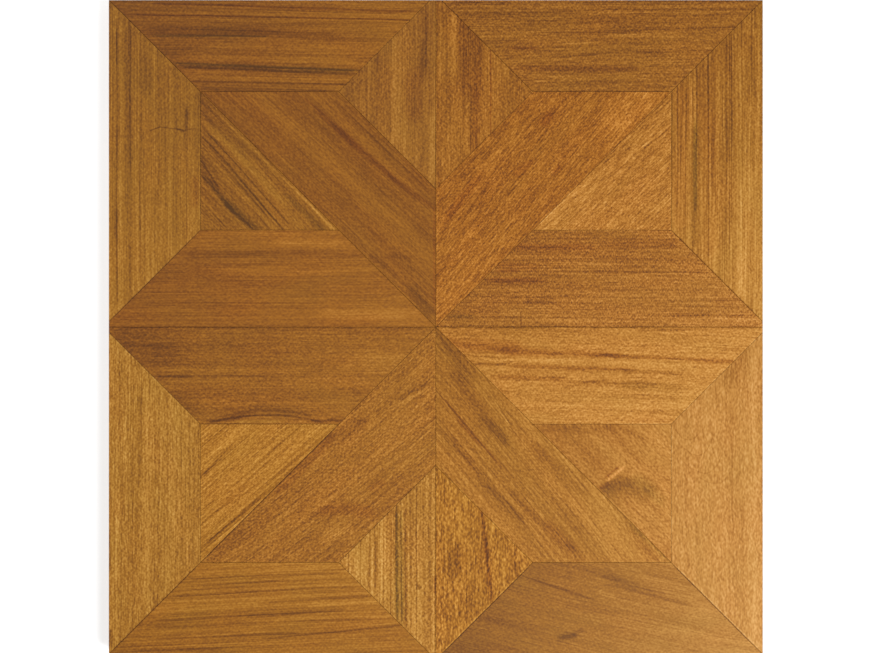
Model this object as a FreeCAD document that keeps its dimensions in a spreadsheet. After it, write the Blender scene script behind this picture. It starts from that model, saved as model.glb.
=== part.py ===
# A square parquet panel: hardwood face staves glued in a mirrored star layout on a plywood base.
# Frame: millimetres, +Z up, origin at the centre of the underside, +Y to the panel's north edge.
import FreeCAD
import Part
import Sketcher
import os

doc = FreeCAD.newDocument("ParquetPanel")

# Driving dimensions, in millimetres, with what each one sets.
DIMENSIONS = [
    ("panel_side", 600, "side of the square panel"),
    ("stave_width", 89, "width of the border staves as they are laid, edge to edge"),
    ("edge_trim", 5, "what the outer staves and the points lose when the panel is cut to its side"),
    ("face_thickness", 4, "thickness of the hardwood face staves"),
    ("base_thickness", 14, "thickness of the plywood base"),
    ("joint_bevel", 0.3, "bevel along the upper edges of every stave"),
    ("groove_width", 5, "clear height of the edge groove, which is centred in the base"),
    ("groove_depth", 8, "depth of the edge groove from the panel's side"),
    ("lip_relief", 0.5, "set-back of the lip below the groove, so that the face closes first"),
    ("underside_easing", 0.6, "chamfer round the underside"),
]

sheet = doc.addObject("Spreadsheet::Sheet", "Dimensions")
for row, (alias, value, meaning) in enumerate(DIMENSIONS, start=1):
    sheet.set(f"A{row}", meaning)
    sheet.set(f"B{row}", str(value))
    sheet.setAlias(f"B{row}", alias)
doc.recompute()

half_panel = sheet.panel_side / 2
half_layout = half_panel + sheet.edge_trim
width = sheet.stave_width

# Distances from the panel's two centre lines, each as its expression and the length to draw it at.
# Every corner of every stave lies on these.
CENTRE = ("0", 0)
POINT_END = ("Dimensions.edge_trim", sheet.edge_trim)
NEAR = ("Dimensions.stave_width", width)
OUTER = ("Dimensions.panel_side / 2", half_panel)
FAR = (
    "Dimensions.panel_side / 2 + Dimensions.edge_trim - Dimensions.stave_width",
    half_layout - width,
)
TIP = (
    "Dimensions.panel_side / 2 + Dimensions.edge_trim - 2 * Dimensions.stave_width",
    half_layout - 2 * width,
)

# The base's edge profile, as distances from the same centre lines.
CLEAR_OF_EDGE = (
    "Dimensions.panel_side / 2 + Dimensions.groove_depth",
    half_panel + sheet.groove_depth,
)
GROOVE_END = (
    "Dimensions.panel_side / 2 - Dimensions.groove_depth",
    half_panel - sheet.groove_depth,
)
LIP_EDGE = (
    "Dimensions.panel_side / 2 - Dimensions.lip_relief",
    half_panel - sheet.lip_relief,
)
GROOVE_FLOOR = "(Dimensions.base_thickness - Dimensions.groove_width) / 2"

# One quarter of the layout: each stave's corners as distances from the centre lines, along X and Y.
# Four mitred borders frame an inner square. The diagonal stave fills half of that square
# and runs on to the panel's centre, so the fourth border is cut down to the edge triangle.
# The trim leaves a short blunt end on each point that meets the panel's side.
QUARTER_LAYOUT = {
    "side_border": [(OUTER, OUTER), (FAR, FAR), (FAR, NEAR), (OUTER, POINT_END)],
    "end_border": [(OUTER, OUTER), (FAR, FAR), (NEAR, FAR), (POINT_END, OUTER)],
    "centre_border": [(OUTER, CENTRE), (OUTER, POINT_END), (FAR, NEAR), (NEAR, NEAR), (CENTRE, CENTRE)],
    "diagonal_stave": [(FAR, FAR), (NEAR, FAR), (CENTRE, TIP), (CENTRE, CENTRE)],
    "inner_triangle": [(FAR, FAR), (FAR, NEAR), (NEAR, NEAR)],
    "edge_triangle": [(CENTRE, OUTER), (POINT_END, OUTER), (NEAR, FAR), (CENTRE, TIP)],
}

# The quarters mirror each other across the centre lines: the signs of X and Y in each.
QUARTERS = {"nw": (-1, 1), "ne": (1, 1), "sw": (-1, -1), "se": (1, -1)}
AROUND_THE_CENTRE = [QUARTERS[name] for name in ("ne", "nw", "sw", "se")]

# How a sketch refers to its origin, and how a corner with no distance is lined up with it.
ORIGIN_POINT = (-1, 1)
IN_LINE = {"DistanceX": "Vertical", "DistanceY": "Horizontal"}


def start_of(line):
    """A sketch's reference to the first point of a line."""
    return (line, 1)


def end_of(line):
    """A sketch's reference to the last point of a line."""
    return (line, 2)


def new_body(label):
    body = doc.addObject("PartDesign::Body", label)
    body.Label = label
    return body


def sketch_on_xy(body, name, height=None):
    """A sketch on the body's XY plane, raised by an expression if one is given."""
    sketch = body.newObject("Sketcher::SketchObject", name)
    plane = next(item for item in body.Origin.OriginFeatures if item.Role == "XY_Plane")
    sketch.AttachmentSupport = [(plane, "")]
    sketch.MapMode = "FlatFace"
    if height is not None:
        sketch.setExpression("AttachmentOffset.Base.z", height)
    return sketch


def hold_corner(sketch, line, kind, sign, distance):
    """Ties the start of a line to its distance from one centre line."""
    expression, length = distance
    if distance is CENTRE:
        sketch.addConstraint(Sketcher.Constraint(IN_LINE[kind], *ORIGIN_POINT, *start_of(line)))
        return
    ends = ORIGIN_POINT + start_of(line) if sign > 0 else start_of(line) + ORIGIN_POINT
    constraint = sketch.addConstraint(Sketcher.Constraint(kind, *ends, length))
    sketch.setExpression(f"Constraints[{constraint}]", expression)


def draw_outline(sketch, corners):
    """A closed outline. Each corner is its signs in X and Y and its distances from the centre lines."""
    points = [
        FreeCAD.Vector(sign_x * x[1], sign_y * y[1], 0) for (sign_x, sign_y), (x, y) in corners
    ]
    lines = [
        sketch.addGeometry(Part.LineSegment(start, end))
        for start, end in zip(points, points[1:] + points[:1])
    ]
    for line, following in zip(lines, lines[1:] + lines[:1]):
        sketch.addConstraint(
            Sketcher.Constraint("Coincident", *end_of(line), *start_of(following))
        )
    for line, ((sign_x, sign_y), (x, y)) in zip(lines, corners):
        hold_corner(sketch, line, "DistanceX", sign_x, x)
        hold_corner(sketch, line, "DistanceY", sign_y, y)


def draw_square(sketch, half_side):
    """A square round the panel's centre."""
    draw_outline(sketch, [(signs, (half_side, half_side)) for signs in AROUND_THE_CENTRE])


def pad_up(body, sketch, length):
    pad = body.newObject("PartDesign::Pad", "Pad")
    pad.Profile = sketch
    pad.setExpression("Length", length)
    return pad


def pocket_up(body, sketch, name, length):
    """Cuts from the sketch's plane towards +Z."""
    pocket = body.newObject("PartDesign::Pocket", name)
    pocket.Profile = sketch
    pocket.Reversed = True
    pocket.setExpression("Length", length)
    return pocket


def chamfer_face(body, base, side, size):
    """Chamfers round the base feature's top face (side 1) or underside (side -1)."""
    doc.recompute()
    heights = [side * face.CenterOfMass.z for face in base.Shape.Faces]
    face_number = heights.index(max(heights)) + 1
    chamfer = body.newObject("PartDesign::Chamfer", "Chamfer")
    chamfer.Base = (base, [f"Face{face_number}"])
    chamfer.setExpression("Size", size)
    return chamfer


def make_stave(label, corners, signs):
    """One face stave: a mitred prism with a fine bevel round its upper face."""
    body = new_body(label)
    outline = sketch_on_xy(body, "Outline")
    draw_outline(outline, [(signs, corner) for corner in corners])
    pad = pad_up(body, outline, "Dimensions.face_thickness")
    chamfer_face(body, pad, 1, "Dimensions.joint_bevel")
    body.setExpression("Placement.Base.z", "Dimensions.base_thickness")
    return body


def make_base():
    """The plywood base: a square board with a groove for a loose tongue in all four edges."""
    body = new_body("plywood_base")
    outline = sketch_on_xy(body, "Outline")
    draw_square(outline, OUTER)
    pad_up(body, outline, "Dimensions.base_thickness")

    groove_ring = sketch_on_xy(body, "GrooveRing", GROOVE_FLOOR)
    draw_square(groove_ring, CLEAR_OF_EDGE)
    draw_square(groove_ring, GROOVE_END)
    pocket_up(body, groove_ring, "Groove", "Dimensions.groove_width")

    lip_ring = sketch_on_xy(body, "LipRing")
    draw_square(lip_ring, CLEAR_OF_EDGE)
    draw_square(lip_ring, LIP_EDGE)
    lip = pocket_up(body, lip_ring, "LipRelief", GROOVE_FLOOR)
    chamfer_face(body, lip, -1, "Dimensions.underside_easing")
    return body


def check(bodies):
    """Stops the build if any feature failed, or a sub-part isn't one closed valid solid."""
    for item in doc.Objects:
        if "Invalid" in item.State or "Error" in item.State:
            raise RuntimeError(f"{item.Label} failed: {item.State}")
    for body in bodies:
        shape = body.Shape
        if shape.isNull() or not shape.isValid() or len(shape.Solids) != 1:
            raise RuntimeError(f"{body.Label} is not one valid solid")


sub_parts = [make_base()]
for quarter, signs in QUARTERS.items():
    for stave, corners in QUARTER_LAYOUT.items():
        sub_parts.append(make_stave(f"{stave}_{quarter}", corners, signs))
doc.recompute()
check(sub_parts)

os.makedirs("parts", exist_ok=True)
for body in sub_parts:
    body.Shape.exportStep(f"parts/{body.Label}.step")
    print(f"{body.Label}: {body.Shape.Volume:.1f} mm3")
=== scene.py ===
# A square parquet panel on a white floor, seen from straight above: lacquered hardwood staves on plywood.
import math

import bpy
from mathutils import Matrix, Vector


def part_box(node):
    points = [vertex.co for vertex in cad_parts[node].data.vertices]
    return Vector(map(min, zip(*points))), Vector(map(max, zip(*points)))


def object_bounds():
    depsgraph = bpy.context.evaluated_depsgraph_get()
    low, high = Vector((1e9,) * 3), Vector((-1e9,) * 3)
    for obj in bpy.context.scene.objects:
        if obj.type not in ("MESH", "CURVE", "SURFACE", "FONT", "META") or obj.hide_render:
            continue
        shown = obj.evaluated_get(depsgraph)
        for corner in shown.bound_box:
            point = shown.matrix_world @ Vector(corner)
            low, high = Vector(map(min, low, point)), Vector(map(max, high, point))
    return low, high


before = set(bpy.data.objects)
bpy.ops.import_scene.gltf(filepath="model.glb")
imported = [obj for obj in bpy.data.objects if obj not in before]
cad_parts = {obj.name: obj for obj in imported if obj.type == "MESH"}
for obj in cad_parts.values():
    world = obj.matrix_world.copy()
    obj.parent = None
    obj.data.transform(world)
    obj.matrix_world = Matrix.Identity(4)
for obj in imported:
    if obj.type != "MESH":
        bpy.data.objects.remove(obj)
cad_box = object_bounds()

METRE = 1000.0  # millimetres, which every size below is in unless it says otherwise
panel_side = (cad_box[1].x - cad_box[0].x) * METRE
face_top = cad_box[1].z * METRE
base_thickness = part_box("plywood_base")[1].z * METRE

# The distances from the panel's two centre lines that the staves' corners lie on.
OUTER = panel_side / 2
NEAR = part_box("inner_triangle_ne")[0].x * METRE
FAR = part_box("inner_triangle_ne")[1].x * METRE
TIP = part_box("edge_triangle_ne")[0].y * METRE
POINT_END = NEAR + FAR - OUTER  # the width of each point's blunt end at the panel's side

# The photograph's frame, and in its pixels the panel's width and the place of its centre.
IMAGE_WIDTH = 870
IMAGE_HEIGHT = 653
PANEL_PIXELS = 654
PANEL_CENTRE_PIXEL = (435.8, 327.05)


class Graph:
    """Adds nodes to a tree. Each call takes sockets or plain values, and gives back an output socket."""

    def __init__(self, tree):
        self.tree = tree

    def node(self, kind, inputs=(), **settings):
        node = self.tree.nodes.new(kind)
        for name, value in settings.items():
            setattr(node, name, value)
        for key, value in dict(inputs).items():
            if isinstance(value, bpy.types.NodeSocket):
                self.connect(value, node.inputs[key])
            else:
                node.inputs[key].default_value = value
        return node

    def connect(self, output, target):
        self.tree.links.new(output, target)

    def math(self, operation, *values):
        return self.node("ShaderNodeMath", enumerate(values), operation=operation).outputs[0]

    def add(self, first, second):
        return self.math("ADD", first, second)

    def subtract(self, first, second):
        return self.math("SUBTRACT", first, second)

    def times(self, first, second):
        return self.math("MULTIPLY", first, second)

    def over(self, first, second):
        return self.math("DIVIDE", first, second)

    def times_add(self, first, second, third):
        return self.math("MULTIPLY_ADD", first, second, third)

    def absolute(self, value):
        return self.math("ABSOLUTE", value)

    def vector(self, operation, *values):
        return self.node("ShaderNodeVectorMath", enumerate(values), operation=operation).outputs[0]

    def scale(self, vector, factor):
        inputs = {"Vector": vector, "Scale": factor}
        return self.node("ShaderNodeVectorMath", inputs, operation="SCALE").outputs[0]

    def dot(self, first, second):
        node = self.node("ShaderNodeVectorMath", enumerate((first, second)), operation="DOT_PRODUCT")
        return node.outputs["Value"]

    def split(self, vector):
        return self.node("ShaderNodeSeparateXYZ", {0: vector}).outputs[:]

    def join(self, x, y, z):
        return self.node("ShaderNodeCombineXYZ", enumerate((x, y, z))).outputs[0]

    def noise(self, vector, detail=1.0, roughness=0.5):
        inputs = {"Vector": vector, "Scale": 1.0, "Detail": detail, "Roughness": roughness}
        return self.node("ShaderNodeTexNoise", inputs, noise_dimensions="3D").outputs[0]

    def ease(self, value, zero_at, one_at):
        """Runs smoothly from 0 to 1 between two values, in either order, and stays there beyond them."""
        inputs = {"Value": value, "From Min": zero_at, "From Max": one_at}
        return self.node("ShaderNodeMapRange", inputs, interpolation_type="SMOOTHSTEP").outputs[0]

    def ramp(self, value, stops):
        node = self.node("ShaderNodeValToRGB", {0: value})
        elements = node.color_ramp.elements
        while len(elements) < len(stops):
            elements.new(1.0)
        for element, (position, colour) in zip(elements, stops):
            element.position = position
            element.color = (*colour, 1.0)
        return node.outputs[0]

    def mix_colour(self, share, first, second):
        return self.node("ShaderNodeMix", {0: share, 6: first, 7: second}, data_type="RGBA").outputs[2]

    def bump(self, height, strength, distance):
        inputs = {"Height": height, "Strength": strength, "Distance": distance}
        return self.node("ShaderNodeBump", inputs).outputs[0]

    def group(self, tree, inputs):
        return self.node("ShaderNodeGroup", inputs, node_tree=tree).outputs


def new_group(name, inputs, outputs):
    """A node group with named sockets: returns its graph, its inputs by name, and its output node's."""
    tree = bpy.data.node_groups.new(name, "ShaderNodeTree")
    for direction, sockets in (("INPUT", inputs), ("OUTPUT", outputs)):
        for label, kind in sockets.items():
            tree.interface.new_socket(label, in_out=direction, socket_type=f"NodeSocket{kind}")
    graph = Graph(tree)
    return graph, graph.node("NodeGroupInput").outputs, graph.node("NodeGroupOutput").inputs


SPAN = 100.0  # the length over which a stave's bow and its drift of tone are given


def make_flow_group():
    """Bends a stave's own coordinates (along, across, through), so that its grain isn't ruler-straight."""
    graph, given, result = new_group(
        "grain_flow",
        {"Position": "Vector", "Wave": "Float", "Curl": "Float", "Bow": "Float", "Seed": "Float"},
        {"Grain": "Vector"},
    )
    along, across, through = graph.split(given["Position"])

    def wander(length, width, height):
        place = graph.join(graph.over(along, length), graph.over(across, width), given["Seed"])
        return graph.times(graph.subtract(graph.noise(place), 0.5), height)

    slow = wander(length=240.0, width=60.0, height=4.0)
    quick = wander(length=50.0, width=14.0, height=0.9)
    tight = wander(length=17.0, width=10.0, height=6.0)
    arch = graph.math("POWER", graph.over(along, SPAN), 2.0)
    bent = graph.times_add(graph.add(slow, quick), given["Wave"], across)
    bent = graph.times_add(tight, given["Curl"], bent)
    bent = graph.times_add(arch, given["Bow"], bent)
    graph.connect(graph.join(along, bent, through), result["Grain"])
    return graph.tree


# The parts of a stave's tone. A gain is how strongly one shows for the stave's own amount of it.
LAYER_SLOPE = 0.6  # how far the growth layers lean aside with depth
LINE_GAIN = 1.4
DARK_LINE_GAIN = 0.4
DARK_LINE_SHARE = 0.8  # of the other lines' width
DARK_LINE_NOISE = (0.08, 0.2)  # where they start to show and show most
PORE_GAIN = 0.3
PORE_NOISE = (0.12, 0.24)  # where they start to show and show most
FLECK_GAIN = 1.72
FLECK_WIDTH = 1.45
FLECK_PATCHINESS = 0.5
PALE_FLECK_STEP = 2.0  # from each dark fleck aside to its fainter pale one
PALE_FLECK_SHARE = 0.2


def make_tone_group():
    """The wood's lightness: drift (partly painted light), bands, growth lines, flecks and ripple about the
    stave's own tone.
    """
    graph, given, result = new_group(
        "grain_tone",
        {
            "Grain": "Vector", "Seed": "Float", "Tone": "Float", "Drift": "Vector", "Bands": "Float",
            "Lines": "Float", "Line width": "Float", "Hairs": "Float", "Hair length": "Float",
            "Flecks": "Float", "Fleck length": "Float", "Ripple": "Float",
        },
        {"Tone": "Float", "Pores": "Float", "Rag": "Float", "Patches": "Float"},
    )
    along, across, through = graph.split(given["Grain"])
    layer = graph.times_add(through, LAYER_SLOPE, across)

    def variation(length, width, shift, detail=1.0, aside=0.0):
        """Noise about zero, drawn out along the grain. Each shift gives a different one."""
        place = graph.join(
            graph.over(along, length),
            graph.over(graph.add(layer, aside), width),
            graph.add(graph.over(through, width), graph.add(given["Seed"], shift)),
        )
        return graph.subtract(graph.noise(place, detail, roughness=0.6), 0.5)

    def fleck(aside):
        return variation(given["Fleck length"], FLECK_WIDTH, shift=31.0, detail=0.0, aside=aside)

    bands = variation(length=500.0, width=13.0, shift=3.0, detail=2.0)
    lines = variation(length=300.0, width=given["Line width"], shift=17.0, detail=2.0)
    dark_width = graph.times(given["Line width"], DARK_LINE_SHARE)
    dark_lines = graph.ease(variation(length=380.0, width=dark_width, shift=23.0), *DARK_LINE_NOISE)
    hairs = variation(length=given["Hair length"], width=1.1, shift=29.0)
    flecks = graph.times_add(fleck(aside=PALE_FLECK_STEP), -PALE_FLECK_SHARE, fleck(aside=0.0))
    ripple = variation(length=7.0, width=40.0, shift=43.0)
    pores = graph.ease(variation(length=9.0, width=0.5, shift=59.0), *PORE_NOISE)
    patches = variation(length=60.0, width=22.0, shift=67.0)
    rag = variation(length=90.0, width=2.2, shift=71.0, detail=2.0)

    speckle = graph.times(given["Flecks"], graph.times_add(patches, FLECK_PATCHINESS, 1.0))
    # The drift, partly painted light: a slope of tone across the stave.
    tone = graph.add(given["Tone"], graph.dot(given["Grain"], given["Drift"]))
    for part, strength in (
        (bands, given["Bands"]),
        (lines, graph.times(given["Lines"], LINE_GAIN)),
        (dark_lines, graph.times(given["Lines"], -DARK_LINE_GAIN)),
        (hairs, given["Hairs"]),
        (flecks, graph.times(speckle, FLECK_GAIN)),
        (pores, graph.times(speckle, -PORE_GAIN)),
        (ripple, given["Ripple"]),
    ):
        tone = graph.times_add(part, strength, tone)
    for name, value in (("Tone", tone), ("Pores", pores), ("Rag", rag), ("Patches", patches)):
        graph.connect(value, result[name])
    return graph.tree


# A streak's outline: its sides wander, and it narrows and dies away towards its ends.
SIDE_WANDER = 0.5
SIDE_WANDER_SHARE = 0.45  # of its half width, on top of that
END_WIDTH_SHARE = 0.55
PAST_END_SHARE = 0.3  # how much of its fade lies past its end
GONE_SIDE_SHARE = 1.2  # of its half width, where the mark is gone
WHOLE_SIDE_SHARE = 0.1  # of its half width, where the mark is whole
STREAK_PATCHINESS = 1.1
LONGEST_FADE = 15.0
FADE_SHARE = 0.4  # of its half length, where that is shorter


def make_streak_group():
    """Darkens and tints the wood along one streak, with tapering ends and slightly ragged sides."""
    graph, given, result = new_group(
        "streak",
        {
            "Tone": "Float", "Red": "Float", "Grain": "Vector", "Rag": "Float", "Middle": "Vector",
            "Along": "Vector", "Across": "Vector", "Half length": "Float", "Half width": "Float",
            "Bend": "Float", "Fade": "Float", "Depth": "Float", "Tint": "Float",
        },
        {"Tone": "Float", "Red": "Float"},
    )
    offset = graph.vector("SUBTRACT", given["Grain"], given["Middle"])
    run = graph.absolute(graph.dot(offset, given["Along"]))
    share = graph.over(run, given["Half length"])
    arch = graph.times(graph.subtract(1.0, graph.times(share, share)), given["Bend"])
    reach = graph.times_add(given["Half width"], SIDE_WANDER_SHARE, SIDE_WANDER)
    wander = graph.times(given["Rag"], reach)
    side = graph.subtract(graph.add(graph.dot(offset, given["Across"]), wander), arch)

    end_gone_at = graph.times_add(given["Fade"], PAST_END_SHARE, given["Half length"])
    end_whole_at = graph.subtract(given["Half length"], given["Fade"])
    ends = graph.ease(run, end_gone_at, end_whole_at)
    taper = graph.times_add(ends, 1.0 - END_WIDTH_SHARE, END_WIDTH_SHARE)
    width = graph.times(given["Half width"], taper)
    side_gone_at = graph.times(width, GONE_SIDE_SHARE)
    side_whole_at = graph.times(width, WHOLE_SIDE_SHARE)
    core = graph.ease(graph.absolute(side), side_gone_at, side_whole_at)
    patchy = graph.times_add(given["Rag"], STREAK_PATCHINESS, 1.0)
    mark = graph.times(graph.times(core, ends), patchy)

    tone = graph.subtract(given["Tone"], graph.times(mark, given["Depth"]))
    graph.connect(tone, result["Tone"])
    graph.connect(graph.times_add(mark, given["Tint"], given["Red"]), result["Red"])
    return graph.tree


flow_group = make_flow_group()
tone_group = make_tone_group()
streak_group = make_streak_group()


def streak(start, end, half_width, depth, bend=0.0, tint=0.0, straight=False):
    """A streak from point to point on the panel's face. A depth below zero makes it lighter.
    A tint above zero makes it redder, and one below zero greyer. A straight one ignores the grain."""
    return {
        "start": Vector(start), "end": Vector(end), "half_width": half_width, "depth": depth,
        "bend": bend, "tint": tint, "straight": straight,
    }


def joint(start, end, depth, half_width=1.1):
    """A painted shadow along one edge of a stave. If its depth is below zero, it is a pale rim there
    instead: partly a painted highlight on the bevel, partly paler wood.
    """
    return streak(start, end, half_width, depth, straight=True)


def figure(grain, tone, streaks=(), **changes):
    """How one stave looks: its grain's angle in degrees, its tone, its streaks and what is unusual."""
    usual = {
        "red": 0.0, "blue": 0.0, "drift": (0.0, 0.0), "bands": 0.26, "lines": 0.2, "line_width": 2.2,
        "hairs": 0.32, "hair_length": 50.0, "flecks": 0.3, "fleck_length": 1.9, "ripple": 0.06,
        "wave": 1.0, "curl": 0.0, "bow": 0.0,
    }
    return {"grain": grain, "tone": tone, "streaks": streaks, **usual, **changes}
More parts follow.
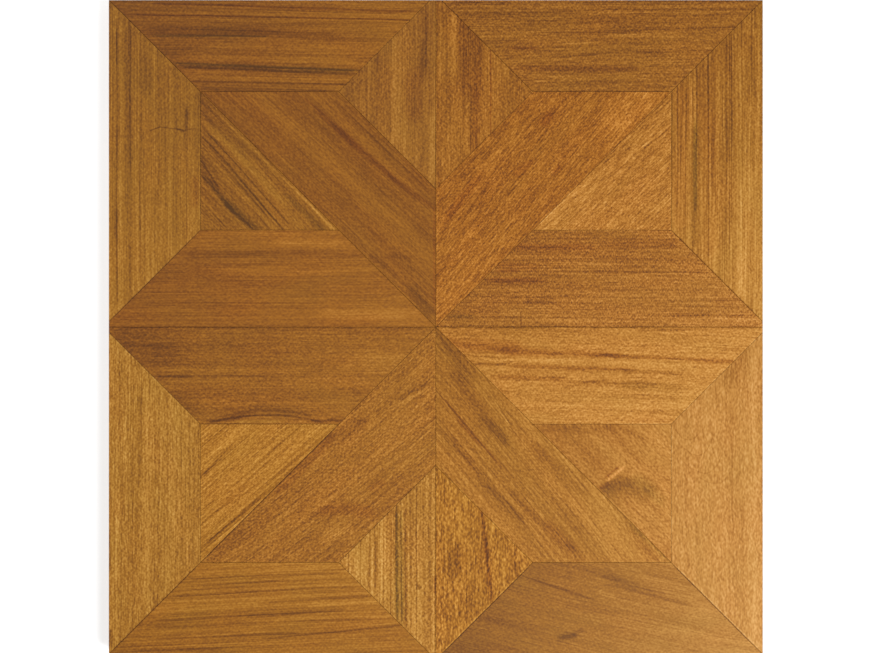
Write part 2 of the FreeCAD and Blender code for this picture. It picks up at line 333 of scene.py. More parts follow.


# Every stave's figure, in panel millimetres: +X to the right and +Y up as the face is seen.
# Drift is the change of tone over SPAN, to the right and up. It is partly the wood's own and partly
# painted light, which makes most staves paler towards the right and the bottom.
# The joint() marks in them are painted shadows and pale rims along the staves' edges.
FIGURES = {
    "side_border_nw": figure(90, 0.448, [
        streak((-292.5, 15), (-292.5, 280), 1.4, 0.21),
        streak((-293, 76), (-293, 110), 4.0, 0.14),
        streak((-292.5, 158), (-292.5, 184), 1.6, 0.12),
        streak((-292.5, 238), (-292.5, 282), 1.6, 0.12),
        streak((-284, 100), (-284, 280), 1.1, 0.15),
        streak((-279.5, 136), (-279.5, 276), 1.4, 0.07),
        streak((-279.5, 138), (-279.5, 216), 1.3, 0.06),
        streak((-281, 28), (-281, 82), 1.2, 0.14),
        streak((-271, 40), (-271, 200), 1.3, 0.12),
        streak((-271, 83), (-271, 142), 1.2, 0.12),
        streak((-246, 178), (-246, 242), 1.2, 0.12),
        streak((-263, 180), (-252, 183.8), 0.8, 0.26, straight=True),
        streak((-255, 183.8), (-232, 181), 0.7, 0.22, straight=True),
        streak((-238, 182), (-230, 179.4), 1.3, 0.3, straight=True),
        streak((-231, 180.4), (-220, 182.5), 0.8, 0.14, straight=True),
        streak((-229.2, 179), (-228.6, 202), 2.0, 0.3, straight=True),
        streak((-229.4, 162), (-229.4, 181), 2.0, 0.12, straight=True),
        streak((-221, 108), (-221, 140), 6.5, 0.08, tint=0.03),
        streak((-216, 88), (-216, 212), 1.2, -0.12),
        streak((-258, 150), (-258, 260), 1.3, -0.08),
        streak((-289, 60), (-289, 290), 1.1, -0.1),
        streak((-275, 100), (-275, 270), 1.2, -0.08),
        streak((-266, 212), (-266, 252), 7.0, 0.08),
        streak((-299.5, 150), (-299.5, 305), 2.5, 0.12),
        joint((-OUTER, OUTER), (-FAR, FAR), -0.12),
    ], red=-0.03, drift=(-0.05, -0.07), lines=0.31, line_width=2.4, hairs=0.3, flecks=0.24, ripple=0.14),
    "end_border_nw": figure(-1.5, 0.342, [
        streak((-300, 299.5), (-188, 299.5), 2.5, 0.12),
        streak((-262, 296.3), (-15, 289), 1.9, 0.18, tint=0.03),
        streak((-287, 286.6), (-15, 281), 1.3, 0.22, tint=0.03),
        streak((-274, 272.5), (-146, 270), 7.0, 0.18),
        streak((-264, 267.5), (-150, 266), 1.5, 0.14, tint=-0.06),
        streak((-156, 270), (-86, 266), 5.5, 0.14),
        streak((-96, 266), (-38, 263), 4.0, 0.08),
        streak((-257, 255.5), (-220, 255), 1.0, 0.14),
        streak((-202, 253.5), (-148, 253), 1.0, 0.12),
        streak((-246, 242.5), (-62, 235.5), 1.6, 0.24, tint=-0.05),
        streak((-243, 239.2), (-66, 232.5), 1.6, 0.22),
        streak((-242, 241), (-70, 234), 3.6, 0.1, tint=-0.04),
        streak((-232, 226.5), (-74, 223), 1.2, 0.22),
        streak((-220, 219.5), (-90, 217.5), 1.8, 0.18),
        streak((-235, 249), (-70, 245), 4.0, -0.06),
        streak((-225, 231), (-85, 228.5), 2.0, -0.06),
        joint((-OUTER, OUTER), (-FAR, FAR), 0.16),
        joint((-FAR, FAR), (-NEAR, FAR), 0.12),
    ], red=0.012, drift=(0.06, 0.0), bands=0.2, lines=0.28, flecks=0.2),
    "centre_border_nw": figure(0.3, 0.376, [
        streak((-238, 66), (-58, 66), 6.0, 0.1),
        streak((-152, 77.5), (-78, 77.5), 5.0, -0.1),
        streak((-200, 50), (-90, 50), 5.0, -0.06),
        streak((-275, 22), (-100, 22), 1.0, 0.08),
        streak((-270, 19), (-110, 19), 0.9, 0.06),
        streak((-110, 12), (-25, 12), 9.0, -0.08),
        joint((-299, 0), (-5, 0), 0.06, 1.8),
        joint((-OUTER, POINT_END), (-FAR, NEAR), 0.16),
        joint((-FAR, NEAR), (-NEAR, NEAR), -0.07),
    ], red=0.022, drift=(0.05, 0.0), lines=0.14, flecks=0.18, fleck_length=2.2),
    "diagonal_stave_nw": figure(-43, 0.35, [
        streak((-123, 211), (-102, 194), 1.2, 0.14, tint=0.03),
        streak((-112, 202), (-66, 159), 3.4, 0.14, tint=0.03),
        streak((-97, 188), (-33, 131), 3.8, 0.17, tint=0.03),
        streak((-46, 141), (2, 106), 3.8, 0.18, tint=0.03),
        streak((-97, 212), (-2, 121), 1.0, 0.14),
        streak((-91, 212), (-6, 130), 0.8, 0.08),
        streak((-112, 150), (-73, 116), 2.0, 0.08),
        streak((-62, 67), (-43, 53), 4.0, 0.1),
        streak((-46, 66), (-20, 62), 4.0, 0.08),
        streak((-26, 40), (-2, 8), 8.0, 0.15, tint=-0.02),
        streak((-1.4, 10), (-1.4, 118), 1.3, 0.05, tint=0.05, straight=True),
    ], red=0.015, drift=(0.01, -0.03), lines=0.12, hairs=0.35, hair_length=30.0, flecks=0.19),
    "inner_triangle_nw": figure(-47, 0.355, [
        joint((-206, 202.4), (-82, 78.4), -0.2, 1.3),
        joint((-140, 136), (-80, 76), -0.07, 3.2),
        streak((-140, 124), (-96, 82), 4.0, 0.11, tint=-0.03),
        streak((-212, 190), (-136, 110), 5.5, -0.1, tint=-0.02),
        streak((-214, 182), (-131, 90), 1.1, 0.24, tint=-0.02),
        streak((-216, 176), (-136, 84), 1.5, 0.3, tint=-0.02),
        streak((-204, 157), (-148, 94), 1.0, 0.14),
        streak((-200, 141), (-168, 108), 0.9, -0.12),
        streak((-217, 156), (-198, 125), 1.4, 0.24),
        streak((-216, 142), (-184, 104), 2.6, 0.23, tint=-0.03),
        streak((-197, 118), (-157, 82), 5.0, 0.18, tint=-0.04),
        streak((-193, 112), (-168, 90), 2.0, 0.16),
        streak((-206, 106), (-192, 91), 0.9, 0.14),
        joint((-FAR, FAR), (-130, 130), -0.12, 0.9),
        joint((-FAR, FAR), (-FAR, NEAR), 0.1, 0.9),
    ], red=-0.01, drift=(0.06, -0.08), bands=0.18, lines=0.22, hairs=0.4, flecks=0.24, bow=2.0),
    "edge_triangle_nw": figure(90, 0.408, [
        streak((-9, 228), (-9, 298), 2.8, 0.18),
        streak((-12, 228), (-12, 266), 3.4, 0.1),
        streak((-20, 186), (-20, 240), 10.0, 0.1, tint=0.03),
        streak((-36, 160), (-36, 272), 6.0, -0.09),
        streak((-4, 128), (-4, 204), 4.0, -0.1),
        streak((-74, 213), (-70, 242), 9.0, 0.05),
        streak((-47, 190), (-47, 250), 5.0, 0.02),
        joint((-POINT_END, OUTER), (-NEAR, FAR), -0.06),
        joint((0, 240), (0, OUTER), -0.22),
        joint((-1.2, TIP), (-1.2, 250), -0.1, 0.9),
    ], red=-0.01, blue=0.15, drift=(0.08, -0.05), lines=0.22, hairs=0.32, flecks=0.26),
    "side_border_ne": figure(90, 0.56, [
        streak((225, 84), (225, 230), 12.0, -0.04, tint=0.035),
        streak((227, 193), (227, 229), 2.6, 0.13),
        streak((224.5, 148), (225.5, 202), 1.0, 0.16),
        streak((230.5, 148), (230.5, 234), 1.0, 0.18),
        streak((233.5, 148), (233.5, 232), 1.8, -0.1),
        streak((238.5, 104), (238.5, 194), 2.6, 0.26, tint=-0.06),
        streak((237.5, 72), (238, 118), 2.0, 0.18),
        streak((240, 186), (240, 240), 1.0, 0.16),
        streak((245, 60), (245, 240), 2.4, -0.06),
        streak((250, 58), (250, 252), 1.2, 0.17),
        streak((249, 60), (249, 250), 11.0, 0.06, tint=0.02),
        streak((254.5, 118), (254, 193), 3.0, 0.14),
        streak((264, 128), (264, 167), 2.5, 0.06),
        streak((266.5, 78), (266.5, 272), 1.3, 0.14),
        streak((271, 78), (271, 277), 1.2, 0.15),
        streak((268.5, 148), (268.5, 264), 4.0, 0.07),
        streak((279.5, 28), (279.5, 264), 3.5, -0.14),
        streak((283.5, 60), (283.5, 282), 0.9, 0.12),
        streak((290, 203), (290, 273), 5.0, 0.12),
        streak((293, 270), (293, 298), 1.5, 0.18),
        streak((290, 20), (290, 150), 9.0, -0.08),
        streak((221, 90), (221, 152), 1.2, 0.12),
        streak((229, 92), (229, 152), 1.6, 0.12),
        joint((FAR, NEAR), (OUTER, POINT_END), 0.18),
        joint((FAR, 120), (FAR, FAR), -0.05, 0.9),
    ], red=-0.005, drift=(0.06, -0.09), lines=0.42, line_width=2.0, hairs=0.45, flecks=0.29),
    "end_border_ne": figure(1.0, 0.4, [
        streak((8, 298.5), (297, 298.5), 1.3, 0.12),
        streak((20, 287.5), (152, 291.5), 1.4, 0.11),
        streak((148, 291.5), (297, 291), 1.0, 0.16),
        streak((40, 294.5), (290, 294.5), 1.4, -0.1),
        streak((150, 288.8), (292, 288.8), 1.0, -0.12),
        streak((75, 278), (230, 280), 6.0, 0.06),
        streak((93, 270.5), (152, 271.2), 1.3, 0.16),
        streak((142, 271.3), (192, 271.8), 1.7, 0.19),
        streak((186, 273), (287, 275), 1.1, 0.18),
        streak((73, 263), (152, 265), 3.5, -0.08),
        streak((148, 267), (237, 267.5), 2.2, -0.12),
        streak((106, 259), (154, 262), 0.9, -0.16),
        streak((66, 256), (94, 256), 1.6, 0.22, tint=0.04),
        streak((88, 256.3), (122, 257), 1.0, 0.12),
        streak((103, 247), (152, 250), 1.2, 0.12),
        streak((70, 238), (190, 236.5), 4.0, 0.2, tint=0.02),
        streak((78, 229), (152, 229), 3.5, -0.06),
        streak((188, 251), (217, 251), 4.5, 0.12),
        streak((196, 219), (217, 219), 1.0, 0.14),
        joint((88, FAR), (217, FAR), 0.24),
        joint((POINT_END, OUTER), (50, 255), 0.18),
        joint((FAR, FAR), (OUTER, OUTER), 0.1, 0.9),
    ], red=0.01, blue=0.05, drift=(0.02, -0.03), lines=0.16, hairs=0.45, flecks=0.36, fleck_length=1.6),
    "centre_border_ne": figure(-0.5, 0.482, [
        streak((50, 52), (122, 51), 1.0, 0.14),
        streak((52, 57), (96, 55), 4.0, 0.1, tint=0.03),
        streak((116, 51), (207, 50), 1.4, 0.22),
        streak((196, 50.5), (254, 49.5), 1.0, 0.14),
        streak((203, 47.5), (240, 47), 0.9, 0.1),
        streak((43, 44), (103, 43), 3.6, 0.18, tint=0.04),
        streak((53, 52), (78, 52), 2.0, 0.14, tint=0.04),
        streak((64, 74), (150, 73), 4.5, 0.12, tint=0.03),
        streak((148, 76), (228, 75), 7.0, 0.11, tint=0.02),
        streak((148, 62), (227, 62), 6.0, 0.06),
        streak((26, 27), (35.5, 38), 2.0, 0.38),
        streak((10, 10), (38, 10), 1.8, 0.22, tint=-0.03),
        streak((46, 9.5), (78, 9), 1.4, 0.14),
        streak((78, 0), (78, 16), 0.9, 0.24, straight=True),
        streak((58, 14.5), (82, 14.5), 2.5, -0.12),
        streak((78, 24), (112, 24), 4.0, 0.12),
        streak((193, 25), (282, 24), 0.9, 0.14),
        streak((148, 34), (202, 33.5), 1.0, 0.08),
        streak((213, 12.5), (258, 12), 3.4, 0.12),
        joint((60, 0), (299, 0), 0.18, 1.8),
        joint((FAR, NEAR), (OUTER, POINT_END), 0.14),
        joint((NEAR, NEAR), (FAR, NEAR), -0.12),
        joint((5, 5), (NEAR, NEAR), -0.08),
    ], red=0.025, blue=0.06, drift=(0.07, -0.08), lines=0.24, hairs=0.46, flecks=0.42, fleck_length=1.2),
    "diagonal_stave_ne": figure(50, 0.466, [
        streak((97, 184), (107, 197), 5.0, 0.14, tint=0.04),
        streak((6, 96), (44, 144), 5.0, 0.12, tint=0.03),
        streak((71, 138), (90, 154), 4.5, 0.11, tint=0.03),
        streak((107, 140), (115, 148), 3.4, 0.1, tint=0.03),
        streak((80, 112), (95, 130), 5.5, 0.08),
        streak((10, 60), (40, 95), 9.0, -0.06),
        streak((152, 178), (214, 228), 20.0, -0.12),
        streak((150, 166), (206, 208), 8.0, -0.06),
        joint((0, 5), (0, TIP), 0.08),
        joint((1.3, 62), (1.3, TIP), -0.12, 0.9),
        joint((1.3, 5), (1.3, 38), -0.1, 0.9),
    ], red=0.056, blue=-0.1, drift=(0.01, -0.03), lines=0.1, hairs=0.85, hair_length=12.0, flecks=0.36,
        fleck_length=1.4),
    "inner_triangle_ne": figure(43, 0.61, [
        joint((NEAR, NEAR), (130, 130), -0.2, 2.4),
        streak((178, 157), (216, 187), 1.0, -0.2),
        streak((168, 167), (202, 194), 1.0, -0.18),
        streak((181, 157), (216, 184), 0.9, 0.14),
        streak((186, 158), (216, 181), 0.9, -0.12),
        streak((176, 163), (178.6, 165.4), 1.4, 0.34),
        joint((FAR, 95), (FAR, FAR), -0.12),
        joint((150, 145), (214, 209), 0.09, 9.0),
        joint((160, 160), (FAR, FAR), -0.08, 0.9),
    ], red=0.032, drift=(-0.03, -0.03), lines=0.1, hairs=0.85, hair_length=11.0, flecks=0.35,
        fleck_length=1.4),
    "edge_triangle_ne": figure(90, 0.44, [
        streak((25, 204), (25, 312), 7.5, 0.12, tint=0.02),
        streak((36, 204), (36, 300), 7.5, 0.13, tint=0.02),
        streak((36, 156), (36, 222), 5.5, 0.12, tint=0.02),
        streak((31.5, 156), (31.5, 230), 1.3, 0.14),
        streak((21, 223), (21, 282), 1.0, 0.08),
        streak((14.5, 223), (14.5, 290), 4.2, -0.1),
        streak((23, 150), (23, 206), 4.0, -0.06),
        streak((46, 170), (46, 262), 2.6, -0.12),
        streak((50.4, 164), (50.4, 262), 1.1, 0.2, tint=0.04),
        streak((54, 178), (54, 204), 2.0, 0.1),
        streak((63, 188), (63, 237), 1.2, 0.12),
        joint((0, TIP), (80, 207), 0.05),
        joint((0, OUTER), (0, TIP), 0.06, 0.9),
    ], red=0.02, drift=(0.0, -0.07), lines=0.32, hairs=0.45, flecks=0.35),
    "side_border_sw": figure(90, 0.575, [
        streak((-290, -18), (-290, -97), 1.5, 0.14),
        streak((-289, -93), (-291, -152), 1.2, 0.1),
        streak((-285, -76), (-285, -127), 1.8, -0.12),
        streak((-281, -18), (-281, -77), 1.5, -0.12),
        streak((-290, -148), (-294, -242), 1.8, -0.1),
        streak((-270.5, -48), (-272, -152), 2.0, 0.14),
        streak((-273, -148), (-276, -222), 1.6, 0.08),
        streak((-262, -58), (-262, -162), 1.6, -0.08),
        streak((-257, -68), (-257, -152), 1.4, 0.1),
        streak((-252, -53), (-253, -172), 1.3, -0.1),
        streak((-247, -58), (-247, -132), 1.4, 0.08),
        streak((-265, -188), (-268, -257), 1.4, -0.08),
        streak((-298.5, -183), (-298.5, -228), 2.0, 0.16),
        streak((-298, -276), (-298, -294), 3.5, 0.24),
        joint((-OUTER, -POINT_END), (-FAR, -NEAR), -0.11),
        joint((-OUTER, -OUTER), (-FAR, -FAR), 0.12),
        joint((-FAR, -130), (-FAR, -FAR), -0.13),
    ], red=-0.03, drift=(0.05, 0.02), lines=0.32, line_width=2.0, hairs=0.6, hair_length=10.0,
        flecks=0.3),
    "end_border_sw": figure(2.6, 0.485, [
        streak((-227, -231.5), (-83, -226), 1.2, 0.12),
        streak((-224, -236.5), (-130, -232.5), 1.0, 0.1),
        streak((-246, -247), (-70, -239), 1.5, 0.18),
        streak((-160, -253.5), (-50, -246.5), 1.9, 0.16),
        streak((-116, -256.5), (-48, -251.5), 1.3, -0.14),
        streak((-264, -269), (-80, -260), 1.6, 0.2),
        streak((-180, -266.5), (-110, -262.5), 1.2, 0.14),
        streak((-266, -275), (-60, -267.5), 1.2, 0.16),
        streak((-258, -286), (-120, -280), 1.2, 0.18),
        streak((-160, -286), (-26, -273), 1.2, 0.2),
        streak((-95, -277.5), (-30, -270.5), 0.9, -0.12),
        streak((-282, -297), (-190, -294.5), 2.6, 0.12),
        streak((-62, -287), (-43, -285), 3.0, 0.08),
        joint((-OUTER, -OUTER), (-FAR, -FAR), 0.24),
        joint((-FAR, -FAR), (-NEAR, -FAR), -0.05),
    ], blue=-0.1, drift=(0.04, 0.1), bands=0.18, lines=0.34, line_width=2.0, flecks=0.2, bow=0.5),
    "centre_border_sw": figure(0.0, 0.39, [
        streak((-300, -12), (-233, -25), 20.0, 0.1),
        streak((-252, -68), (-213, -78), 14.0, 0.08),
        streak((-257, -40), (-158, -40), 3.0, -0.06),
        streak((-260, -45.5), (-220, -45.5), 1.8, 0.26),
        streak((-227, -45.5), (-148, -45), 1.2, 0.12),
        streak((-209, -88), (-100, -88.5), 1.4, 0.28, bend=7.5),
        streak((-206, -84.5), (-106, -85), 1.8, 0.13, bend=8.0),
        streak((-214, -88), (-170, -79.5), 2.4, 0.18),
        streak((-204, -76), (-110, -79), 4.5, 0.07, bend=3.0),
        streak((-116, -86.6), (-80, -85.8), 1.7, 0.26),
        streak((-100, -84.5), (-90, -84), 1.4, 0.14),
        streak((-188, -86.5), (-140, -86.5), 1.8, -0.12, tint=-0.04),
        streak((-192, -68), (-98, -68), 1.4, 0.1),
        streak((-90, -30), (-20, -30), 14.0, -0.08),
        joint((-299, 0), (-5, 0), 0.09, 2.6),
        joint((-FAR, -NEAR), (-NEAR, -NEAR), 0.18, 0.9),
    ], red=0.01, drift=(0.05, -0.05), bands=0.2, lines=0.11, flecks=0.26, ripple=0.12),
    "diagonal_stave_sw": figure(39, 0.47, [
        streak((-152, -154), (-93, -98), 7.0, 0.1, tint=0.03),
        streak((-102, -110), (-60, -82), 7.0, 0.1),
        streak((-212, -218), (-158, -166), 10.0, 0.07),
        streak((-37, -68), (-5, -49), 3.2, 0.16),
        streak((-40, -50), (-13, -31), 5.0, 0.06),
        streak((-38, -74), (-6, -55), 1.8, -0.12),
        streak((-112, -170), (-52, -174), 8.0, 0.09, tint=0.03, bend=5.0),
        streak((-62, -150), (-46, -141), 5.0, 0.08, tint=0.03),
        streak((-106, -196), (-70, -192), 9.0, -0.12, bend=5.0),
        streak((-150, -200), (-80, -150), 1.2, 0.08),
        streak((-130, -205), (-90, -172), 1.2, 0.08),
        streak((-170, -190), (-70, -112), 1.2, 0.06),
        joint((-FAR, -FAR), (-NEAR, -NEAR), 0.42),
    ], red=0.01, drift=(0.01, 0.01), bands=0.16, lines=0.18, hairs=0.5, hair_length=35.0, flecks=0.36,
        fleck_length=1.7, bow=-2.0),
    "inner_triangle_sw": figure(40, 0.57, [
        streak((-216, -138), (-185, -106), 1.3, 0.3),
        streak((-216, -128), (-193, -110), 1.0, 0.2),
        streak((-216, -104), (-195, -89), 1.0, 0.12),
        streak((-182, -150), (-148, -118), 1.3, 0.16),
        streak((-172, -131), (-120, -89), 1.2, 0.2),
        streak((-215, -166), (-183, -148), 1.0, 0.12),
        streak((-207, -172), (-168, -148), 1.0, 0.12),
        streak((-215, -203), (-153, -149), 1.8, 0.34),
        streak((-159, -155), (-118, -119), 1.2, 0.18),
        streak((-206, -201), (-148, -151), 1.6, -0.14),
        joint((-FAR, -150), (-FAR, -FAR), -0.06),
    ], blue=-0.13, drift=(-0.02, 0.08), lines=0.42, line_width=2.0, hairs=0.62, flecks=0.33,
        fleck_length=1.6),
    "edge_triangle_sw": figure(90, 0.632, [
        streak((-33, -164), (-32.5, -276), 6.0, 0.12, tint=-0.04),
        streak((-35.5, -160), (-35.5, -274), 1.8, 0.28, tint=-0.05),
        streak((-31, -160), (-30.5, -276), 1.0, 0.18, tint=-0.04),
        streak((-27.5, -156), (-27, -280), 1.2, 0.22),
        streak((-56, -188), (-56, -246), 1.5, 0.24),
        streak((-59.3, -192), (-59.3, -244), 1.0, -0.12),
        streak((-62, -198), (-62, -242), 1.1, 0.14),
        streak((-22, -148), (-22, -283), 1.0, 0.14),
        streak((-48, -183), (-47, -250), 5.0, -0.1),
        streak((-70, -203), (-70, -234), 4.0, -0.08),
        streak((-14, -138), (-14, -227), 1.0, 0.1),
        streak((-6, -148), (-6, -292), 0.9, 0.1),
        streak((-16, -236), (-13, -240.5), 2.4, 0.3),
        streak((-11.5, -234), (-11.5, -240), 1.0, -0.2),
        streak((-0.5, -228), (-0.5, -246), 2.0, 0.26, tint=0.04),
        joint((0, -OUTER), (0, -TIP), 0.12),
    ], red=-0.015, drift=(0.02, -0.08), lines=0.51, hairs=0.4, flecks=0.4),
    "side_border_se": figure(91, 0.735, [
        streak((271, -60), (270, -290), 4.0, 0.05),
        streak((281, -100), (282, -280), 2.0, 0.02),
        streak((292, -60), (292, -290), 6.0, -0.03),
        streak((290, -12), (260, -57), 14.0, 0.12),
        streak((284, -18), (283, -62), 0.9, 0.12),
        streak((232, -100), (246, -92), 6.0, 0.05, bend=-6.0),
        streak((219, -89), (247, -92), 1.0, 0.14, bend=-13.0),
        streak((219, -100), (257, -92), 1.0, 0.13, bend=-22.0),
        streak((218, -112), (266, -98), 1.0, 0.12, bend=-30.0),
        streak((230, -130), (272, -108), 1.0, 0.1, bend=-26.0),
        joint((FAR, -NEAR), (FAR, -FAR), -0.12),
        joint((FAR, -FAR), (OUTER, -OUTER), -0.14, 1.8),
        joint((FAR, -NEAR), (OUTER, -POINT_END), -0.06),
    ], blue=0.17, drift=(0.05, -0.02), lines=0.16, hairs=0.3, hair_length=12.0, flecks=0.3,
        fleck_length=2.7, wave=1.5, curl=0.6),
    "end_border_se": figure(-13, 0.5, [
        streak((78, -227), (152, -253), 1.5, 0.18),
        streak((148, -227), (242, -258), 5.0, 0.12),
        streak((160, -236), (232, -256), 2.2, 0.08),
        streak((183, -221), (242, -239), 3.5, 0.1),
        streak((110, -286.5), (131, -282.5), 4.6, 0.16, tint=-0.02),
        streak((115, -285.5), (128, -283), 2.6, 0.12),
        streak((125, -284), (137, -276), 3.8, 0.12),
        streak((100, -272), (124, -281), 2.0, 0.1),
        streak((150, -225), (187, -241), 14.0, 0.05),
        streak((43, -266), (64, -271), 4.0, 0.08),
        streak((148, -242), (167, -249), 3.0, -0.1),
        streak((98, -215), (152, -227), 1.0, 0.1),
        streak((200, -246), (262, -262), 8.0, -0.06),
        joint((FAR, -FAR), (OUTER, -OUTER), 0.36),
        joint((POINT_END, -OUTER), (NEAR, -FAR), 0.26),
        joint((NEAR, -FAR), (FAR, -FAR), -0.04),
    ], red=-0.02, blue=0.16, drift=(0.14, 0.02), lines=0.09, flecks=0.2, wave=2.0, bow=-2.0),
    "centre_border_se": figure(-2, 0.675, [
        streak((0, -14), (84, -18.5), 7.5, 0.17, tint=0.03),
        streak((48, -20), (176, -27), 4.4, 0.18, tint=0.02),
        streak((60, -23), (120, -25), 3.4, 0.08, tint=0.02),
        streak((140, -26), (284, -33), 2.2, 0.22, tint=0.02),
        streak((36, -29.5), (152, -31.3), 1.8, -0.12),
        streak((148, -33), (202, -34), 1.6, -0.1),
        streak((24, -33.5), (70, -34), 1.6, 0.2),
        streak((66, -35), (186, -40), 2.8, 0.2, tint=0.02),
        streak((164, -39.5), (232, -43.5), 2.4, 0.17),
        streak((50, -44.5), (124, -48), 2.8, 0.24, tint=0.02),
        streak((134, -50.5), (162, -48), 1.7, 0.2),
        streak((112, -50.5), (210, -53.5), 3.4, 0.14),
        streak((166, -52), (232, -58), 6.5, 0.11, tint=-0.015),
        streak((160, -62), (230, -66), 2.0, 0.08),
        streak((183, -3.5), (232, -3), 1.6, 0.2),
        streak((216, -46), (250, -48), 1.4, 0.1),
        streak((70, -76), (200, -78), 8.0, -0.05),
        joint((5, 0), (299, 0), 0.18, 1.8),
        joint((FAR, -NEAR), (OUTER, -POINT_END), -0.05),
        joint((NEAR, -NEAR), (FAR, -NEAR), -0.05),
    ], red=0.02, drift=(0.06, -0.05), lines=0.16, hairs=0.36, flecks=0.36, fleck_length=1.7, wave=1.6,
        curl=0.3),
    "diagonal_stave_se": figure(-51, 0.55, [
        streak((-6, 6), (36, -54), 9.0, 0.14),
        streak((10, -34), (70, -114), 6.5, 0.15),
        streak((40, -78), (66, -109), 5.0, 0.08),
        streak((4, -62), (62, -130), 1.5, 0.18, tint=0.03),
        streak((18, -82), (42, -110), 1.8, 0.14, tint=0.04),
        streak((50, -112), (100, -172), 1.6, 0.1),
        streak((53, -66), (69, -92), 1.0, -0.16),
        streak((57, -66), (74, -92), 1.0, -0.12),
        streak((55, -68), (72, -94), 0.8, 0.12),
        streak((96, -134), (115, -156), 1.2, -0.14),
        streak((88, -106), (142, -156), 10.0, 0.09),
        streak((2, -90), (60, -160), 5.0, 0.06),
        streak((36, -138), (86, -182), 4.5, 0.11),
        streak((44, -141), (88, -182), 1.2, 0.14),
        streak((64, -146), (102, -186), 3.6, 0.13),
        streak((98, -178), (130, -208), 7.5, 0.16, tint=0.02),
        streak((118, -196), (137, -217), 5.0, 0.1),
        streak((60, -58), (190, -196), 1.8, -0.08),
        streak((130, -160), (180, -214), 3.0, -0.06),
        streak((176, -178), (218, -214), 5.0, 0.13, tint=-0.04),
        joint((NEAR, -NEAR), (150, -150), 0.18),
    ], drift=(0.05, 0.0), bands=0.32, lines=0.26, hairs=0.45, hair_length=35.0, flecks=0.28, bow=1.0),
    "inner_triangle_se": figure(-47, 0.58, [
        streak((150, -149), (206, -149), 13.0, 0.15, tint=-0.02),
        streak((148, -150), (184, -140), 7.0, 0.16, tint=-0.01),
        streak((148, -148.5), (160, -144), 3.0, 0.12, tint=0.03),
        streak((162, -142.5), (180, -129), 3.0, 0.1),
        streak((155, -143), (174, -127), 1.8, -0.26, tint=0.04),
        streak((154, -139.5), (169, -127), 1.3, 0.16, tint=0.04),
        streak((180, -134), (212, -164), 9.0, 0.07, tint=-0.03),
        streak((161, -86), (196, -108), 3.2, 0.1),
        streak((98, -93), (170, -93), 7.0, 0.1),
        streak((154, -85), (190, -128), 4.0, 0.1),
        streak((120, -96), (152, -130), 4.0, 0.06),
        streak((170, -159), (207, -189), 1.2, 0.12),
        streak((178, -159), (214, -187), 1.2, -0.1),
    ], red=0.01, blue=0.08, drift=(0.16, 0.0), lines=0.14, hairs=0.25, flecks=0.3, fleck_length=2.1,
        ripple=0.1, wave=1.6, curl=0.4),
    "edge_triangle_se": figure(90, 0.565, [
        streak((41, -158), (46, -208), 3.6, 0.12, tint=0.02),
        streak((45, -194), (51.5, -254), 3.6, 0.12, tint=0.02),
        streak((41, -156), (47, -214), 1.7, 0.2, tint=0.02, straight=True),
        streak((45.5, -200), (52.5, -256), 1.7, 0.2, tint=0.02, straight=True),
        streak((17, -192), (17, -234), 10.0, 0.14),
        streak((10, -256), (12, -274), 5.0, 0.12),
        streak((30, -230), (30, -262), 7.0, 0.06),
        streak((72, -214), (76, -237), 3.2, 0.14),
        streak((20, -150), (20, -190), 8.0, -0.06),
        joint((POINT_END, -OUTER), (NEAR, -FAR), -0.18, 1.6),
        joint((0, -OUTER), (0, -TIP), 0.06),
        joint((0, -TIP), (NEAR, -FAR), -0.14),
    ], red=0.014, blue=-0.2, drift=(0.05, 0.01), lines=0.24, hairs=0.7, hair_length=14.0, flecks=0.5,
        fleck_length=2.6, curl=0.2),
}

# The hardwood's colours from its darkest streak to its palest line, by tone.
HARDWOOD_TONES = [
    (0.00, (0.114, 0.040, 0.011)),
    (0.25, (0.229, 0.081, 0.0123)),
    (0.50, (0.384, 0.150, 0.0172)),
    (0.75, (0.566, 0.255, 0.043)),
    (1.00, (0.748, 0.396, 0.100)),
]
SEED_STEP = 5.0  # from one stave's noise to the next one's
PATCH_REDNESS = 0.06  # how far the slow patches shift the wood's red
BEVEL_SHADE = 0.45  # painted shade: how much of the wood's colour the joints' bevels keep back
BEVEL_DEPTH = 0.12  # below the face, where that shade is whole
BEVEL_FACING = (0.3, 0.6)  # how far up a surface faces, between the cut sides and the bevels
FACE_ROUGHNESS = 0.49
SIDE_ROUGHNESS = 0.73
PORE_ROUGHNESS = 0.2  # on top of those
RELIEF_DEPTH = 0.00012  # metres
RAG_RELIEF = 0.6  # of the pores' depth


def new_material(name):
    """An empty node material: returns it with its graph and its surface socket."""
    material = bpy.data.materials.new(name)
    material.use_nodes = True
    graph = Graph(material.node_tree)
    material.node_tree.nodes.clear()
    output = graph.node("ShaderNodeOutputMaterial")
    return material, graph, output.inputs["Surface"]


def panel_place(graph):
    """The position on the panel, in metres, and the direction that the surface faces."""
    coordinates = graph.node("ShaderNodeTexCoord")
    return coordinates.outputs["Object"], coordinates.outputs["Normal"]


def turned(offset, angle):
    """A flat offset turned about the panel's upright axis."""
    cosine, sine = math.cos(angle), math.sin(angle)
    return offset.x * cosine - offset.y * sine, offset.x * sine + offset.y * cosine


def stave_place(point, middle, angle, bow):
    """A point of the face in a stave's own coordinates, bent as its grain is."""
    along, across = turned(point - middle, -angle)
    return Vector((along, across + bow * (along / SPAN) ** 2, 0.0))


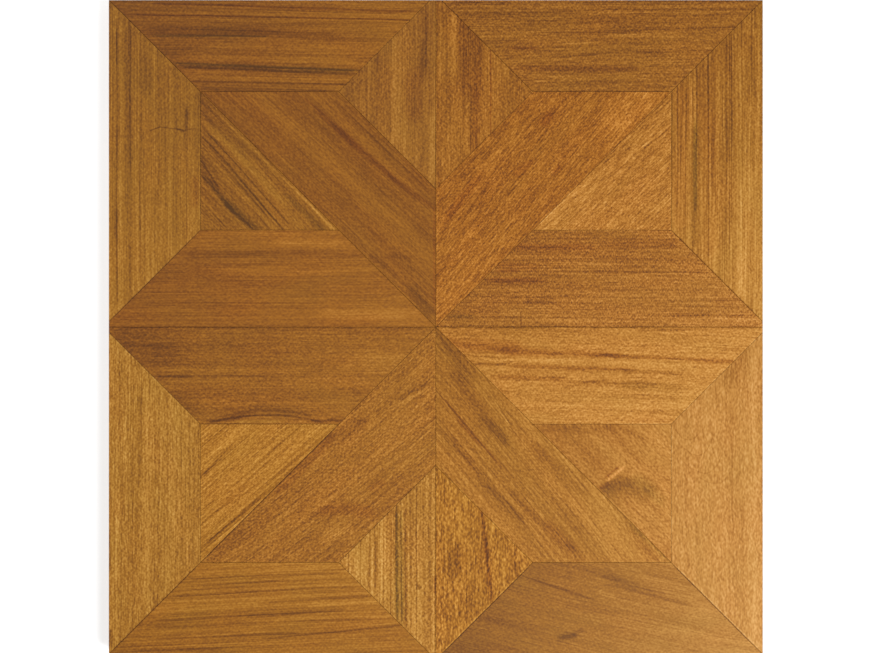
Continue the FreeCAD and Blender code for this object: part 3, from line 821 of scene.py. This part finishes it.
def streak_inputs(mark, middle, angle, bow):
    """Where one streak lies in its stave's own coordinates."""
    bow = 0.0 if mark["straight"] else bow
    start = stave_place(mark["start"], middle, angle, bow)
    end = stave_place(mark["end"], middle, angle, bow)
    along = (end - start).normalized()
    half_length = (end - start).length / 2
    return {
        "Middle": (start + end) / 2, "Along": along, "Across": (-along.y, along.x, 0.0),
        "Half length": half_length, "Half width": mark["half_width"], "Bend": mark["bend"],
        "Fade": min(FADE_SHARE * half_length, LONGEST_FADE), "Depth": mark["depth"], "Tint": mark["tint"],
    }


def stave_figure(graph, place, name, look, seed):
    """One stave's colour, worked out from its figure, and the outputs of its tone group."""
    low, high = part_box(name)
    middle = (low + high).to_2d() / 2 * METRE
    angle = math.radians(look["grain"])
    stave = graph.node("ShaderNodeMapping", {
        "Vector": place, "Location": (middle / METRE).to_3d(), "Rotation": (0.0, 0.0, angle),
        "Scale": (1 / METRE, 1 / METRE, 1 / METRE),
    }, vector_type="TEXTURE").outputs[0]
    grain = graph.group(flow_group, {
        "Position": stave, "Wave": look["wave"], "Curl": look["curl"], "Bow": look["bow"], "Seed": seed,
    })["Grain"]
    wood = graph.group(tone_group, {
        "Grain": grain, "Seed": seed, "Tone": look["tone"],
        "Drift": (*turned(Vector(look["drift"]) / SPAN, -angle), 0.0),
        "Bands": look["bands"], "Lines": look["lines"], "Line width": look["line_width"],
        "Hairs": look["hairs"], "Hair length": look["hair_length"], "Flecks": look["flecks"],
        "Fleck length": look["fleck_length"], "Ripple": look["ripple"],
    })
    tone = wood["Tone"]
    redness = graph.times_add(wood["Patches"], PATCH_REDNESS, look["red"])
    for mark in look["streaks"]:
        inputs = {"Tone": tone, "Red": redness, "Grain": grain, "Rag": wood["Rag"]}
        if mark["straight"]:
            inputs.update({"Grain": stave, "Rag": 0.0})
        inputs.update(streak_inputs(mark, middle, angle, look["bow"]))
        tone, redness = graph.group(streak_group, inputs)[:]

    paleness = graph.subtract(1.0, redness)
    cast = graph.join(graph.add(1.0, redness), paleness, graph.times(paleness, 1.0 + look["blue"]))
    return graph.vector("MULTIPLY", graph.ramp(tone, HARDWOOD_TONES), cast), wood


def hardwood(name, look, seed):
    """One stave's lacquered wood: its own figure, with painted shade in the bevels, and duller on the cut
    sides.
    """
    material, graph, surface = new_material(name)
    place, normal = panel_place(graph)
    colour, wood = stave_figure(graph, place, name, look, seed)

    facing_up = graph.split(normal)[2]
    below_face = graph.subtract(face_top, graph.times(graph.split(place)[2], METRE))
    # Painted shade: the bevels along the joints get a darker colour, whole from BEVEL_DEPTH below the
    # face.
    bevel = graph.times(graph.ease(below_face, 0.0, BEVEL_DEPTH), graph.ease(facing_up, *BEVEL_FACING))
    shaded = graph.scale(colour, graph.times_add(bevel, -BEVEL_SHADE, 1.0))
    dullness = graph.times_add(facing_up, FACE_ROUGHNESS - SIDE_ROUGHNESS, SIDE_ROUGHNESS)
    roughness = graph.times_add(wood["Pores"], PORE_ROUGHNESS, dullness)
    height = graph.times_add(wood["Pores"], -1.0, graph.times(wood["Rag"], RAG_RELIEF))
    relief = graph.bump(height, strength=0.35, distance=RELIEF_DEPTH)
    shader = graph.node("ShaderNodeBsdfPrincipled", {
        "Base Color": shaded, "Roughness": roughness, "Normal": relief, "Specular IOR Level": 0.22,
    })
    graph.connect(shader.outputs[0], surface)
    return material


PLY_COUNT = 9
GLUE_COLOUR = (0.10, 0.05, 0.02, 1.0)
GLUE_LINE = (0.42, 0.49)  # of a ply from its middle, where the glue starts to show and shows most
GLUE_SHARE = 0.6
LONG_GRAIN_TONES = [(0.3, (0.42, 0.25, 0.11)), (0.55, (0.56, 0.37, 0.19)), (0.75, (0.66, 0.47, 0.27))]
END_GRAIN_TONES = [(0.3, (0.20, 0.10, 0.04)), (0.6, (0.36, 0.21, 0.095)), (0.8, (0.46, 0.29, 0.14))]
RING_STEPS = 10.0  # from dark to pale or back, over the whole of the veneer's slow swell
RING_DEPTH = 0.26
RING_RAGGEDNESS = 0.04
CUT_DEPTH = 0.0002  # of the saw's marks, in metres


def plywood():
    """The base: thin plies with their grain crossed, seen as layers at the edges and as veneer below."""
    material, graph, surface = new_material("plywood")
    place, normal = panel_place(graph)
    x, y, z = graph.split(graph.scale(place, METRE))
    facing_x, _, facing_z = graph.split(normal)
    side_x = graph.math("ROUND", graph.absolute(facing_x))
    flat = graph.math("ROUND", graph.absolute(facing_z))
    upright = graph.subtract(1.0, flat)

    def fibres(length, width, thickness, detail):
        cell = graph.join(graph.over(x, length), graph.over(y, width), graph.over(z, thickness))
        return graph.noise(cell, detail, roughness=0.6)

    long_grain = fibres(length=120.0, width=4.0, thickness=1.2, detail=3.0)
    cut_grain = fibres(length=0.5, width=0.5, thickness=0.4, detail=2.0)
    slow_swell = fibres(length=380.0, width=90.0, thickness=30.0, detail=1.0)
    swell = graph.add(slow_swell, graph.times(long_grain, RING_RAGGEDNESS))
    rings = graph.subtract(graph.math("PINGPONG", graph.times(swell, RING_STEPS), 1.0), 0.5)
    veneer = graph.times_add(graph.times(rings, flat), RING_DEPTH, long_grain)
    pale = graph.ramp(veneer, LONG_GRAIN_TONES)
    dark = graph.ramp(cut_grain, END_GRAIN_TONES)

    ply = graph.over(z, base_thickness / PLY_COUNT)
    crossed = graph.math("PINGPONG", graph.math("FLOOR", ply), 1.0)
    end_grain = graph.absolute(graph.subtract(crossed, side_x))
    layered = graph.mix_colour(graph.times(end_grain, upright), pale, dark)
    from_middle = graph.absolute(graph.subtract(graph.math("FRACT", ply), 0.5))
    glue = graph.times(graph.ease(from_middle, *GLUE_LINE), upright)
    colour = graph.mix_colour(graph.times(glue, GLUE_SHARE), layered, GLUE_COLOUR)
    relief = graph.bump(cut_grain, strength=0.4, distance=CUT_DEPTH)
    shader = graph.node("ShaderNodeBsdfPrincipled", {
        "Base Color": colour, "Roughness": 0.75, "Normal": relief, "Specular IOR Level": 0.3,
    })
    graph.connect(shader.outputs[0], surface)
    return material


def dress(node, material):
    """Gives a node's surfaces their material."""
    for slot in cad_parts[node].material_slots:
        slot.material = material


# The floor, in metres. Beside the panel it is white by its own glow and the lamps together.
# The lamps' part is what the shadow takes away, and farther off the glow takes it over.
FLOOR_SIZE = 80.0
FLOOR_DROP = 0.0004
FLOOR_COLOUR = (0.8, 0.8, 0.8, 1.0)
NEAR_GLOW = 0.48
GLOW_RISE = (0.8, 4.0)


def make_floor():
    """A white floor that shows as white to the eye and keeps the panel's shadow.
    From below it isn't seen, and light from there reaches the underside as if it weren't there."""
    bpy.ops.mesh.primitive_plane_add(size=FLOOR_SIZE, location=(0.0, 0.0, -FLOOR_DROP))
    floor = bpy.context.object
    floor.name = "floor"
    floor.visible_diffuse = False
    floor.visible_shadow = False
    material, graph, surface = new_material("floor")
    rays = graph.node("ShaderNodeLightPath").outputs
    mirrored = graph.math("MAXIMUM", rays["Is Glossy Ray"], rays["Is Transmission Ray"])
    seen = graph.math("MAXIMUM", rays["Is Camera Ray"], mirrored)
    place = graph.node("ShaderNodeTexCoord").outputs["Object"]
    far_off = graph.ease(graph.math("SQRT", graph.dot(place, place)), *GLOW_RISE)
    glow = graph.times(seen, graph.times_add(far_off, 1.0 - NEAR_GLOW, NEAR_GLOW))
    lift = graph.node("ShaderNodeEmission", {"Strength": glow}).outputs[0]
    white = graph.node("ShaderNodeBsdfDiffuse", {"Color": FLOOR_COLOUR}).outputs[0]
    lit = graph.node("ShaderNodeAddShader", {0: white, 1: lift}).outputs[0]
    below = graph.node("ShaderNodeNewGeometry").outputs["Backfacing"]
    clear = graph.node("ShaderNodeBsdfTransparent").outputs[0]
    shader = graph.node("ShaderNodeMixShader", {0: below, 1: lit, 2: clear})
    graph.connect(shader.outputs[0], surface)
    floor.data.materials.append(material)


# The sky's brightness from the horizon up to straight overhead. Below the horizon it stays as it starts.
SKY_LEVELS = [(0.0, (0.6, 0.6, 0.6)), (0.35, (0.76, 0.76, 0.76)), (0.95, (0.03, 0.03, 0.03))]


def make_world():
    """Soft light from all round, dimmer overhead and at the horizon, so that the lacquer isn't veiled."""
    world = bpy.data.worlds.new("studio")
    world.use_nodes = True
    graph = Graph(world.node_tree)
    world.node_tree.nodes.clear()
    up = graph.split(graph.node("ShaderNodeTexCoord").outputs["Generated"])[2]
    light = graph.node("ShaderNodeBackground", {"Color": graph.ramp(up, SKY_LEVELS), "Strength": 1.0})
    output = graph.node("ShaderNodeOutputWorld")
    graph.connect(light.outputs[0], output.inputs["Surface"])
    bpy.context.scene.world = world


def make_lamp(name, place, size, watts):
    """A square soft box aimed at the panel's centre, in metres."""
    data = bpy.data.lights.new(name, "AREA")
    data.size = size
    data.energy = watts
    lamp = bpy.data.objects.new(name, data)
    lamp.location = place
    lamp.rotation_euler = (-Vector(place)).to_track_quat("-Z", "Y").to_euler()
    bpy.context.scene.collection.objects.link(lamp)


LENS = 90.0
SENSOR_WIDTH = 36.0


def make_camera():
    """Straight above, so far off that the panel fills the photograph as it does there."""
    data = bpy.data.cameras.new("camera")
    data.lens = LENS
    data.sensor_width = SENSOR_WIDTH
    data.sensor_fit = "HORIZONTAL"
    camera = bpy.data.objects.new("camera", data)
    pixel = panel_side / PANEL_PIXELS / METRE
    distance = LENS / SENSOR_WIDTH * IMAGE_WIDTH * pixel
    camera.location = (
        (IMAGE_WIDTH / 2 - PANEL_CENTRE_PIXEL[0]) * pixel,
        (PANEL_CENTRE_PIXEL[1] - IMAGE_HEIGHT / 2) * pixel,
        face_top / METRE + distance,
    )
    bpy.context.scene.collection.objects.link(camera)
    bpy.context.scene.camera = camera


for number, (node, look) in enumerate(FIGURES.items()):
    dress(node, hardwood(node, look, seed=number * SEED_STEP))
dress("plywood_base", plywood())
make_floor()
make_world()
make_lamp("key", place=(1.08, -1.08, 1.62), size=0.9, watts=32.0)
make_lamp("fill", place=(-1.5, 1.1, 1.3), size=1.2, watts=18.0)
make_camera()
bpy.context.scene.view_settings.view_transform = "Standard"
